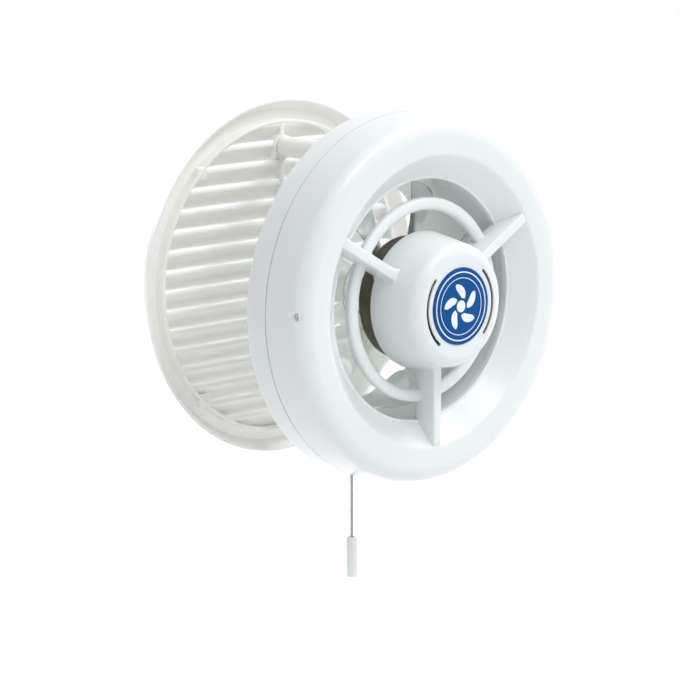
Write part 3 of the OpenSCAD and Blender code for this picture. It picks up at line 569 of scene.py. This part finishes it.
def around_axis_tree():
    """Geometry nodes: copies of what is given, turned round the fan's axis."""
    tree, given, out = new_tree("copies_round_axis", "GeometryNodeTree", [
        ("Geometry", "NodeSocketGeometry", None), ("Count", "NodeSocketInt", 5),
        ("Material", "NodeSocketMaterial", None)], [("Geometry", "NodeSocketGeometry")])
    nodes, link = tree.nodes, tree.links.new
    line = nodes.new("GeometryNodeMeshLine")
    line.inputs["Offset"].default_value = (0, 0, 0)
    copies = nodes.new("GeometryNodeInstanceOnPoints")
    number = nodes.new("GeometryNodeInputIndex")
    share = nodes.new("ShaderNodeMath")
    share.operation = "DIVIDE"
    turn = nodes.new("ShaderNodeMath")
    turn.operation = "MULTIPLY"
    turn.inputs[1].default_value = 2 * math.pi
    angles = nodes.new("ShaderNodeCombineXYZ")
    real = nodes.new("GeometryNodeRealizeInstances")
    paint = nodes.new("GeometryNodeSetMaterial")
    link(given.outputs["Count"], line.inputs["Count"])
    link(line.outputs["Mesh"], copies.inputs["Points"])
    link(given.outputs["Geometry"], copies.inputs["Instance"])
    link(number.outputs["Index"], share.inputs[0])
    link(given.outputs["Count"], share.inputs[1])
    link(share.outputs["Value"], turn.inputs[0])
    link(turn.outputs["Value"], angles.inputs["Y"])
    link(angles.outputs["Vector"], copies.inputs["Rotation"])
    link(copies.outputs["Instances"], real.inputs["Geometry"])
    link(real.outputs["Geometry"], paint.inputs["Geometry"])
    link(given.outputs["Material"], paint.inputs["Material"])
    link(paint.outputs["Geometry"], out.inputs["Geometry"])
    return tree


round_axis = around_axis_tree()


def grown(made, tree, name, crease=35, **inputs):
    """Runs a geometry node tree on an object and keeps the result as a plain mesh."""
    grow = made.modifiers.new("grow", "NODES")
    grow.node_group = tree
    for socket in tree.interface.items_tree:
        if socket.name in inputs and socket.in_out == "INPUT":
            grow[socket.identifier] = inputs[socket.name]
    return baked(made, name, crease)


ink_low, ink_high = badge_face - 0.05, badge_face + 0.04
print_blades_from, print_blades_to, print_hub_r = 4.6, 12.6, 3.2
print_ring_radii = ((17.9, 18.6), (15.0, 15.4))
rotor_print = grown(prism("print_blade", print_blade_outline(print_blades_from, print_blades_to),
                          ink_low, ink_high),
                    round_axis, "print_blades", Count=5, Material=badge_ink)
print_rings = [turned("print_ring", [(a, ink_low), (b, ink_low), (b, ink_high), (a, ink_high)],
                      steps=96) for a, b in print_ring_radii]
print_hub = turned("print_hub", [(0, ink_low), (print_hub_r, ink_low), (print_hub_r, ink_high),
                                 (0, ink_high)], steps=48)
badge_print = merged("badge_print", rotor_print, print_hub, *print_rings)
dress(badge_print, badge_ink, "badge_blue", "housing")

# ------------------------------------------------------------------ side screws
# Two small pan heads with a cross recess, sunk in the cover's flanks, hold it on the rear
# housing. They are zinc-plated steel, as the screws and nuts inside are.
zinc_plate = finish("zinc_plate", (0.76, 0.77, 0.77), (0.60, 0.62, 0.63), patch_scale=260,
                    grain_scale=4000, rough=(0.25, 0.42), grain_depth=0.01, Metallic=1.0)
repaint(zinc_plate, "cover_screws", "switch_screws", "terminal_screws", "motor_screws",
        "clamp_screws", "clamp_nuts", "impeller_nut")

# ------------------------------------------------------------------ rear housing
# The drum's rear band, flange, spigot and duct are a second white moulding; the foam gasket
# lies in a groove of its flange and seals on the pane.
repaint(abs_white, "rear_housing")
foam_black = finish("foam_black", (0.035, 0.037, 0.04), (0.02, 0.022, 0.025), patch_scale=300,
                    grain_scale=2200, rough=(0.8, 0.95), grain_depth=0.12)
repaint(foam_black, "pane_gasket")

# ------------------------------------------------------------------ outdoor grille
# The louvred half that sits outdoors, one moulding in slightly warmer white: a shallow rim with
# an inner lip, fixed slats that fall outwards, a sill at the lip's foot, a mullion and tabs.
outer_r, outer_back_r, outer_rim_y, outer_depth, outer_wall = 100.0, 95.5, 80.0, 9.0, 1.8
lip_out, lip_in, lip_y = 88.0, 86.2, 80.8
slat_pitch, slat_rise, slat_count, slats_below = 10.8, 1.5, 16, 7
slat_nose, slat_brow, slat_edge = 3.6, 2.2, 0.5
slat_y, slat_end_y, slat_drop, slat_blade_t = 81.2, 89.5, 13.2, 1.9
slat_root_gap, slat_top_gap = 0.6, 0.4      # from the brow's top to where the blade starts
slat_reach = 87.0                  # the slats' ends lie inside the lip's wall
narrowest = 0.5                    # half a slat's least width, where its row passes the lip
abs_cream = finish("abs_cream", (0.935, 0.95, 0.90), (0.915, 0.93, 0.875), patch_scale=9,
                   grain_scale=1400, rough=(0.33, 0.34), grain_depth=0.012,
                   Subsurface_Weight=0.5, Subsurface_Radius=(1, 0.97, 0.9),
                   Subsurface_Scale=5 * MM)

outer_back = outer_rim_y + outer_depth
rim = turned("rim", softened([
    (lip_in, -outer_back, 0.4), (outer_back_r, -outer_back, 1.4), (outer_r, -outer_rim_y, 0.5),
    (outer_r - outer_wall, -outer_rim_y, 0.5),
    (outer_back_r - outer_wall, -outer_back + outer_wall, 0.6),
    (lip_out, -outer_back + outer_wall, 0.6), (lip_out, -lip_y, 0.5), (lip_in, -lip_y, 0.5)]))


def slat_section():
    """A slat's section in Y and Z: round upright nose, then a thin blade falling outdoors."""
    nose = arc(slat_brow, slat_edge - slat_nose, slat_brow, slat_nose - slat_edge, 90, 180, 8)
    nose += arc(slat_edge, slat_edge - slat_nose, slat_edge, slat_edge, 190, 230, 2)
    depth, steps = slat_end_y - slat_y, 7
    under = [(slat_edge + (depth - slat_edge) * k / steps,
              -slat_nose - (slat_drop - slat_nose) * k / steps) for k in range(1, steps + 1)]
    over = [(depth - (depth - slat_brow - slat_root_gap) * k / steps,
             -slat_drop + slat_blade_t + (slat_drop - slat_blade_t - slat_top_gap) * k / steps)
            for k in range(steps + 1)]
    return nose + under + over


section = slat_section()
raw_half = 10                      # any half width will do: the tree draws the ends out
verts = [(x * MM, (slat_y + y) * MM, z * MM) for x in (-raw_half, raw_half) for y, z in section]
n = len(section)
slat_faces = [list(range(n)), list(range(n, 2 * n))]
slat_faces += [[i, (i + 1) % n, n + (i + 1) % n, n + i] for i in range(n)]
slat = piece("slat", verts, slat_faces)


def louvre_tree():
    """Geometry nodes: a column of slats, each drawn out to the round lip at every height.

    The drawn-out ends aren't flat, so they are cut into triangles for a clean union.
    """
    tree, given, out = new_tree("louvres", "GeometryNodeTree", [
        ("Geometry", "NodeSocketGeometry", None), ("Rows", "NodeSocketInt", slat_count),
        ("Lowest", "NodeSocketFloat", 0.0), ("Pitch", "NodeSocketFloat", slat_pitch * MM),
        ("Rim Radius", "NodeSocketFloat", slat_reach * MM),
        ("Material", "NodeSocketMaterial", None)],
        [("Geometry", "NodeSocketGeometry")])
    nodes, link = tree.nodes, tree.links.new

    def maths(operation, *values):
        node = nodes.new("ShaderNodeMath")
        node.operation = operation
        for socket, value in zip(node.inputs, values):
            if isinstance(value, (int, float)):
                socket.default_value = value
            else:
                link(value, socket)
        return node.outputs["Value"]

    line = nodes.new("GeometryNodeMeshLine")
    step = nodes.new("ShaderNodeCombineXYZ")
    start = nodes.new("ShaderNodeCombineXYZ")
    copies = nodes.new("GeometryNodeInstanceOnPoints")
    real = nodes.new("GeometryNodeRealizeInstances")
    place = nodes.new("GeometryNodeInputPosition")
    parts = nodes.new("ShaderNodeSeparateXYZ")
    rebuilt = nodes.new("ShaderNodeCombineXYZ")
    stretch = nodes.new("GeometryNodeSetPosition")
    weld = nodes.new("GeometryNodeMergeByDistance")
    weld.inputs["Distance"].default_value = 1e-5
    planar = nodes.new("GeometryNodeTriangulate")
    paint = nodes.new("GeometryNodeSetMaterial")
    link(given.outputs["Pitch"], step.inputs["Z"])
    link(given.outputs["Lowest"], start.inputs["Z"])
    link(given.outputs["Rows"], line.inputs["Count"])
    link(start.outputs["Vector"], line.inputs["Start Location"])
    link(step.outputs["Vector"], line.inputs["Offset"])
    link(line.outputs["Mesh"], copies.inputs["Points"])
    link(given.outputs["Geometry"], copies.inputs["Instance"])
    link(copies.outputs["Instances"], real.inputs["Geometry"])
    link(place.outputs["Position"], parts.inputs["Vector"])
    radius_squared = maths("POWER", given.outputs["Rim Radius"], 2)
    height_squared = maths("POWER", maths("ABSOLUTE", parts.outputs["Z"]), 2)
    half_chord = maths("SQRT", maths("MAXIMUM", maths("SUBTRACT", radius_squared,
                                                      height_squared), (narrowest * MM) ** 2))
    link(maths("MULTIPLY", maths("SIGN", parts.outputs["X"]), half_chord), rebuilt.inputs["X"])
    link(parts.outputs["Y"], rebuilt.inputs["Y"])
    link(parts.outputs["Z"], rebuilt.inputs["Z"])
    link(real.outputs["Geometry"], stretch.inputs["Geometry"])
    link(rebuilt.outputs["Vector"], stretch.inputs["Position"])
    link(stretch.outputs["Geometry"], weld.inputs["Geometry"])
    link(weld.outputs["Geometry"], planar.inputs["Mesh"])
    link(planar.outputs["Mesh"], paint.inputs["Geometry"])
    link(given.outputs["Material"], paint.inputs["Material"])
    link(paint.outputs["Geometry"], out.inputs["Geometry"])
    return tree


louvres = grown(slat, louvre_tree(), "louvres", Material=abs_cream,
                Lowest=(slat_rise - slats_below * slat_pitch) * MM)


def block(name, low, high, bevel=0.4):
    """A box between two corners, in millimetres of the shared frame, with rounded edges."""
    return prism(name, [(low[0], low[2]), (high[0], low[2]), (high[0], high[2]),
                        (low[0], high[2])], -high[1], -low[1], bevel)


inlay_y = lip_y + 0.2              # the mullion's and the tabs' front, just behind the lip's
mullion_half, mullion_back_y, mullion_reach = 1.5, 85.8, 86.9
mullion = block("mullion", (-mullion_half, inlay_y, -mullion_reach),
                (mullion_half, mullion_back_y, mullion_reach), 0.5)
tie_y, tie_z, tie_r = 82.8, 81.7, 0.9
mullion = cut(mullion, rod("tie_hole", (-2 * mullion_half, tie_y, tie_z),
                           (2 * mullion_half, tie_y, tie_z), tie_r), "mullion")
tab_reach, tab_half, tab_depth = lip_in * math.cos(math.radians(45)), 3.5, 3.0
tabs = []
for side_x in (-1, 1):
    for side_z in (-1, 1):
        x, z = side_x * (tab_reach - 2), side_z * (tab_reach + 2)
        tabs.append(block("tab", (x - tab_half, inlay_y, z - tab_half),
                          (x + tab_half, lip_y + tab_depth, z + tab_half), 0.5))
post_z, post_seat_r, post_bore_r = 73.0, 6.9, 2.3
nut_pocket_y, nut_pocket_r, past_back_y = 84.6, 4.15, 91.0
seats = []
for z in (-post_z, post_z):
    seat = rod("seat", (0, outer_rim_y, z), (0, outer_back, z), post_seat_r)
    seat = cut(seat, rod("bore", (0, outer_rim_y - 1, z), (0, past_back_y, z), post_bore_r),
               "seat")
    seat = cut(seat, rod("pocket", (0, nut_pocket_y, z), (0, past_back_y, z), nut_pocket_r,
                         steps=6), "seat")
    seats.append(seat)
sill_r, sill_y, sill_back_y, sill_half_angle = 86.8, 84.4, 86.0, 26
step_y, step_back_y, step_half_angle = 81.6, 85.2, 12


def foot(name, half_angle, front, back):
    """A flat segment that fills the lowest part of the lip, between two depths."""
    return prism(name, [on_circle(sill_r, 270 + half_angle * (k / 10 - 1)) for k in range(21)],
                 -back, -front)


sill = foot("sill", sill_half_angle, sill_y, sill_back_y)
step = foot("step", step_half_angle, step_y, step_back_y)
outdoor = fused("outdoor_moulding", rim, louvres, mullion, sill, step, *tabs, *seats)
dress(outdoor, abs_cream, "cream_plastic", "housing", "outer_grille")

# ------------------------------------------------------------------ clamping posts
# Two white spacer tubes over and under the duct keep the halves apart; a long screw runs
# through each, with its nut sunk in the outdoor grille.
repaint(abs_cream, "clamp_posts")

# ------------------------------------------------------------------ impeller
# Seven twisted blades on a small ribbed hub, moulded as one in clear, slightly green
# polystyrene. It sits on the motor's shaft, and a nut holds it there.
duct_inner, tip_gap = 65.2, 2.7
fan_hub_r, fan_wall, fan_back, fan_front = 22.0, 1.8, -9.4, 9.6
blade_count, blade_root_t, blade_tip_share = 7, 1.8, 0.6
chord_root, chord_tip, pitch_root, pitch_tip = 24, 40, 46, 24
blade_camber, blade_sweep, blade_edge_share = 0.09, 10, 0.3
fan_bore_r, fan_boss_r, rib_count, rib_half = 3.0, 6.5, 6, 0.7
clear_styrene = finish("clear_styrene", (0.93, 0.97, 0.95), (0.88, 0.95, 0.91), patch_scale=30,
                       grain_scale=1500, rough=(0.05, 0.10), grain_depth=0.006,
                       Transmission_Weight=0.9, IOR=1.5)


def mix(a, b, t):
    """A value a share t of the way from a to b."""
    return a + (b - a) * t


def blade(spans=18, cuts=16):
    """A cambered foil, its sections wrapped round the axis and twisted from root to tip."""
    def point(t, s, side):
        r = mix(fan_hub_r - fan_wall / 2, duct_inner - tip_gap, t)
        chord = mix(chord_root, chord_tip, t)
        pitch = math.radians(mix(pitch_root, pitch_tip, t ** 0.8))
        rounding = max(blade_edge_share, math.sqrt(max(0, 1 - (2 * s - 1) ** 4)))
        half_t = mix(1, blade_tip_share, t) * blade_root_t / 2 * rounding
        off = blade_camber * chord * (1 - (2 * s - 1) ** 2) + side * half_t
        along = (s - 0.5) * chord
        u = along * math.cos(pitch) - off * math.sin(pitch)
        v = along * math.sin(pitch) + off * math.cos(pitch)
        a = u / r + math.radians(blade_sweep * t)
        return (r * math.cos(a) * MM, -(v + (fan_back + fan_front) / 2) * MM, r * math.sin(a) * MM)
    verts, faces, loop = [], [], 2 * (cuts + 1)
    for j in range(spans + 1):
        verts += [point(j / spans, i / cuts, 1) for i in range(cuts + 1)]
        verts += [point(j / spans, 1 - i / cuts, -1) for i in range(cuts + 1)]
    for j in range(spans):
        for i in range(loop):
            m = (i + 1) % loop
            faces.append([j * loop + i, j * loop + m, (j + 1) * loop + m, (j + 1) * loop + i])
    faces += [list(range(loop)), [spans * loop + i for i in range(loop)]]
    return piece("blade", verts, faces, crease=50)


blades = grown(blade(), round_axis, "blades", crease=50, Count=blade_count,
               Material=clear_styrene)
fan_hub = turned("fan_hub", softened([
    (fan_bore_r, fan_front, 0), (fan_hub_r, fan_front, 1.2), (fan_hub_r, fan_back, 0.5),
    (fan_hub_r - fan_wall, fan_back, 0.5), (fan_hub_r - fan_wall, fan_front - 2, 0.6),
    (fan_boss_r, fan_front - 2, 0.6), (fan_boss_r, fan_back + 2, 0.4),
    (fan_bore_r, fan_back + 2, 0)]), steps=96)
ribs = grown(block("rib", (fan_boss_r - 0.3, -(fan_front - 1), -rib_half),
                   (fan_hub_r - fan_wall / 2, -(fan_back + 4), rib_half), 0.2),
             round_axis, "ribs", Count=rib_count, Material=clear_styrene)
fan_wheel = merged("fan_wheel", blades, fan_hub, ribs, crease=50)
dress(fan_wheel, clear_styrene, "clear_blades", "rotor", "impeller")

# ------------------------------------------------------------------ pull handle
# A white ABS tube on the cord's end, with a rounded top and an open lower end. The cord's
# knot holds it from inside.
handle_r, handle_top, handle_len = 3.1, -128.0, 22.0
handle_wall, handle_hole_r, handle_roof = 1.0, 1.05, 2.5


def upright(name, centre, outline, steps=64):
    """A solid of revolution round an upright line, from a closed outline of radius and Z."""
    made = turned(name, outline, steps)
    stand = Matrix.Translation(Vector(centre) * MM) @ Matrix.Rotation(math.radians(-90), 4, "X")
    made.data.transform(stand)
    return made


handle = upright("handle_tube", (*cord_at, handle_top), softened([
    (handle_hole_r, 0, 0.1), (2.4, 0, 0), (handle_r, -2, 1.8), (handle_r, -handle_len, 0.25),
    (handle_r - handle_wall, -handle_len, 0.25), (handle_r - handle_wall, -handle_roof, 0.4),
    (handle_hole_r, -handle_roof, 0)]))
dress(handle, abs_white, "white_plastic", "pull", "pull_handle")
repaint(abs_white, "cord_bushing")

# ------------------------------------------------------------------ motor
# A small shaded-pole motor: dark enamelled shell, steel laminations, copper coils and rings,
# a die-cast bracket with sintered bushes, and the rotor on its ground shaft.
dark_enamel = finish("dark_enamel", (0.19, 0.155, 0.085), (0.02, 0.026, 0.018), patch_scale=60,
                     grain_scale=1200, rough=(0.3, 0.5), grain_depth=0.03)
repaint(dark_enamel, "motor_shell")
lamination_steel = finish("lamination_steel", (0.22, 0.23, 0.24), (0.15, 0.155, 0.16),
                          patch_scale=150, grain_scale=3000, rough=(0.4, 0.6), Metallic=1.0)
repaint(lamination_steel, "stator_core", "rotor_core")
copper_enamel = finish("copper_enamel", (0.45, 0.16, 0.06), (0.35, 0.12, 0.045),
                       patch_scale=400, grain_scale=3500, rough=(0.25, 0.4), Metallic=0.9)
repaint(copper_enamel, "stator_coils", "shading_rings")
cast_zinc = finish("cast_zinc", (0.5, 0.52, 0.53), (0.4, 0.42, 0.43), patch_scale=120,
                   grain_scale=1800, rough=(0.4, 0.6), Metallic=1.0)
repaint(cast_zinc, "motor_bracket")
bronze = finish("bronze", (0.45, 0.3, 0.13), (0.36, 0.24, 0.1), patch_scale=300,
                grain_scale=4000, rough=(0.35, 0.5), Metallic=1.0)
repaint(bronze, "front_bearing", "rear_bearing")
ground_steel = finish("ground_steel", (0.6, 0.61, 0.62), (0.52, 0.53, 0.54), patch_scale=500,
                      grain_scale=6000, rough=(0.12, 0.22), Metallic=1.0)
repaint(ground_steel, "motor_shaft")
nylon_natural = finish("nylon_natural", (0.78, 0.77, 0.70), (0.72, 0.71, 0.64), patch_scale=80,
                       grain_scale=1500, rough=(0.4, 0.55))
repaint(nylon_natural, "thrust_washers")

# ------------------------------------------------------------------ switch and mains entry
# The pull switch has a urea body and plunger. The mains lead would come in through the soft
# rubber grommet in the rear band, to a nylon terminal block.
urea = finish("urea", (0.76, 0.73, 0.62), (0.70, 0.67, 0.56), patch_scale=60, grain_scale=1500,
              rough=(0.3, 0.42))
repaint(urea, "switch_body", "switch_plunger")
repaint(nylon_natural, "terminal_block")
soft_rubber = finish("soft_rubber", (0.03, 0.03, 0.032), (0.02, 0.02, 0.022), patch_scale=200,
                     grain_scale=2500, rough=(0.55, 0.7), grain_depth=0.03)
repaint(soft_rubber, "cable_grommet")

# ------------------------------------------------------------------ floor and light
# A plain pale floor and a soft white surround, with three lamps: a key light from the upper
# right, a weaker one from the front, and one from behind. Seen from the right, the drum's upper
# flank still renders as plain white under the key light.
floor_z, floor_size, floor_white, floor_lift = -0.42, 8, 0.82, 0.8
bpy.ops.mesh.primitive_plane_add(size=floor_size, location=(0, 0, floor_z))
floor = bpy.context.object
floor.name = "floor"


def seen_plainly(nodes, link):
    """1 for rays that come from the camera or from gloss and glass."""
    rays = nodes.new("ShaderNodeLightPath")
    total = None
    for kind in ("Is Camera Ray", "Is Glossy Ray", "Is Transmission Ray"):
        if total is None:
            total = rays.outputs[kind]
            continue
        either = nodes.new("ShaderNodeMath")
        either.operation = "MAXIMUM"
        link(total, either.inputs[0])
        link(rays.outputs[kind], either.inputs[1])
        total = either.outputs["Value"]
    return total


pale = bpy.data.materials.new("pale_floor")
pale.use_nodes = True
nodes, link = pale.node_tree.nodes, pale.node_tree.links.new
shader = nodes["Principled BSDF"]
shader.inputs["Base Color"].default_value = (floor_white, floor_white, floor_white, 1)
shader.inputs["Roughness"].default_value = 0.9
shader.inputs["Emission Color"].default_value = (1, 1, 1, 1)
lift = nodes.new("ShaderNodeMath")
lift.operation = "MULTIPLY"
lift.inputs[1].default_value = floor_lift
link(seen_plainly(nodes, link), lift.inputs[0])
link(lift.outputs["Value"], shader.inputs["Emission Strength"])
floor.data.materials.append(pale)

world = bpy.data.worlds.new("surround")
bpy.context.scene.world = world
world.use_nodes = True
nodes, link = world.node_tree.nodes, world.node_tree.links.new
surround = nodes["Background"]
ambient = 0.63
ambient_lean = (0.0, -0.1, 0.1)     # a little brighter from the front and from above
direction = nodes.new("ShaderNodeTexCoord")
lean = nodes.new("ShaderNodeVectorMath")
lean.operation = "DOT_PRODUCT"
lean.inputs[1].default_value = ambient_lean
soft_light = nodes.new("ShaderNodeMath")
soft_light.inputs[1].default_value = ambient
level = nodes.new("ShaderNodeMapRange")
level.inputs["To Max"].default_value = 1.0
link(direction.outputs["Generated"], lean.inputs[0])
link(lean.outputs["Value"], soft_light.inputs[0])
link(soft_light.outputs["Value"], level.inputs["To Min"])
link(seen_plainly(nodes, link), level.inputs["Value"])
surround.inputs["Color"].default_value = (1, 1, 1, 1)
link(level.outputs["Result"], surround.inputs["Strength"])


lamp_size = 0.8


def lamp(name, place, power):
    """A square soft lamp that looks at the fan."""
    data = bpy.data.lights.new(name, "AREA")
    data.energy = power
    data.size = lamp_size
    made = bpy.data.objects.new(name, data)
    bpy.context.collection.objects.link(made)
    made.location = place
    made.rotation_euler = (-Vector(place)).to_track_quat("-Z", "Y").to_euler()


lamp("right", (1.36, -0.72, 1.84), 22.5)
lamp("front", (0.0, -1.54, 1.84), 12.5)
lamp("back", (0.32, 2.3, 0.62), 12)

# ------------------------------------------------------------------ view transform
bpy.context.scene.view_settings.view_transform = "Standard"
